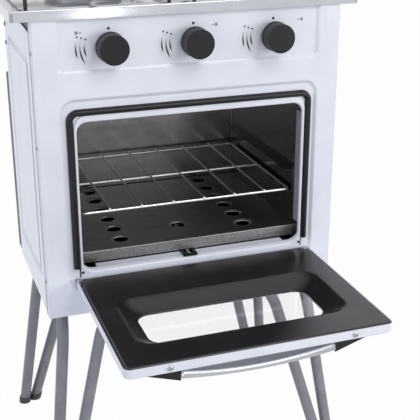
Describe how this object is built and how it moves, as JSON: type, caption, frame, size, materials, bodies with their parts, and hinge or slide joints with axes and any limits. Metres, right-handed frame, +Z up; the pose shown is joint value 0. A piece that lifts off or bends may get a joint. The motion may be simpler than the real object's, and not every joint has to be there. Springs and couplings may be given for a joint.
{
  "type": "portable gas stove",
  "caption": "Free-standing gas stove: steel cooktop with trivets over an oven with a drop-down glazed door, turning push knobs and splayed tubular legs.",
  "frame": {"origin": "on the floor, in the middle of the plan of the stove with its door open", "axes": "+X to the right seen from the front, +Y to the back, +Z up"},
  "size_m": [0.502, 0.5886, 0.78],
  "materials": {
    "white_enamel": "gloss white enamel",
    "cover_paint": "dark grey paint",
    "stainless": "polished stainless steel",
    "oven_steel": "dark oven enamel",
    "chrome_wire": "chromed wire",
    "black_enamel": "black enamel",
    "cast_aluminium": "cast",
    "burner_steel": "plain steel tube",
    "black_clip": "black spring steel",
    "gasket_rubber": "matte silicone",
    "supply_steel": "zinc plated",
    "brass": "turned",
    "knob_plastic": "matte black",
    "glass": "clear tempered glass",
    "handle_metal": "silver satin",
    "handle_plastic": "matte black",
    "leg_metal": "grey satin paint",
    "foot_plastic": "dark plastic",
    "zinc": "zinc plated"
  },
  "bodies": {
    "stove": {"front_panel": "white_enamel", "left_side_panel": "white_enamel", "right_side_panel": "white_enamel", "rear_panel": "white_enamel", "rear_cover": "cover_paint", "base_plate": "cover_paint", "cooktop_tray": "stainless", "drip_bowl_left": "stainless", "drip_bowl_right": "stainless", "oven_liner": "oven_steel", "oven_floor_plate": "oven_steel", "rack_rail_left": "oven_steel", "rack_rail_right": "oven_steel", "oven_rack": "chrome_wire", "trivet_left": "black_enamel", "trivet_right": "black_enamel", "burner_cap_left": "black_enamel", "burner_cap_right": "black_enamel", "burner_cup_left": "cast_aluminium", "burner_cup_right": "cast_aluminium", "oven_burner": "burner_steel", "floor_clip": "black_clip", "door_gasket": "gasket_rubber", "gas_manifold": "supply_steel", "oven_pipe": "supply_steel", "hose_nozzle": "brass", "gas_jets": "brass", "gas_tap_left": "brass", "gas_tap_middle": "brass", "gas_tap_right": "brass", "leg_front": "leg_metal", "leg_rear": "leg_metal", "leg_left": "leg_metal", "leg_right": "leg_metal", "foot_front_left": "foot_plastic", "foot_front_right": "foot_plastic", "foot_rear_left": "foot_plastic", "foot_rear_right": "foot_plastic", "leg_bolts": "zinc", "body_screws": "zinc", "hinge_bracket_left": "zinc", "hinge_bracket_right": "zinc", "hinge_pins": "zinc"},
    "door": {"door_shell": "white_enamel", "door_inner_panel": "black_enamel", "door_glass": "glass", "door_screws": "zinc", "door_ears": "zinc", "handle_bar": "handle_metal", "handle_cap_left": "handle_plastic", "handle_cap_right": "handle_plastic"},
    "plug_left": {"tap_plug_left": "brass"},
    "knob_left": {"knob_left": "knob_plastic", "tap_stem_left": "brass"},
    "plug_middle": {"tap_plug_middle": "brass"},
    "knob_middle": {"knob_middle": "knob_plastic", "tap_stem_middle": "brass"},
    "plug_right": {"tap_plug_right": "brass"},
    "knob_right": {"knob_right": "knob_plastic", "tap_stem_right": "brass"}
  },
  "joints": [
    {"name": "door_hinge", "type": "hinge", "parent": "stove", "child": "door", "pos_m": [0, -0.0237, 0.36315], "axis": [1, 0, 0], "range_deg": [-90, 0]},
    {"name": "tap_turn_left", "type": "hinge", "parent": "stove", "child": "plug_left", "pos_m": [-0.12, -0.0157, 0.7065], "axis": [0, -1, 0], "range_deg": [0, 200]},
    {"name": "knob_push_left", "type": "slide", "parent": "plug_left", "child": "knob_left", "axis": [0, 1, 0], "range_m": [0, 0.004], "stiffness_N_per_m": 1500},
    {"name": "tap_turn_middle", "type": "hinge", "parent": "stove", "child": "plug_middle", "pos_m": [0, -0.0157, 0.7065], "axis": [0, -1, 0], "range_deg": [0, 200]},
    {"name": "knob_push_middle", "type": "slide", "parent": "plug_middle", "child": "knob_middle", "axis": [0, 1, 0], "range_m": [0, 0.004], "stiffness_N_per_m": 1500},
    {"name": "tap_turn_right", "type": "hinge", "parent": "stove", "child": "plug_right", "pos_m": [0.12, -0.0157, 0.7065], "axis": [0, -1, 0], "range_deg": [0, 200]},
    {"name": "knob_push_right", "type": "slide", "parent": "plug_right", "child": "knob_right", "axis": [0, 1, 0], "range_m": [0, 0.004], "stiffness_N_per_m": 1500}
  ]
}
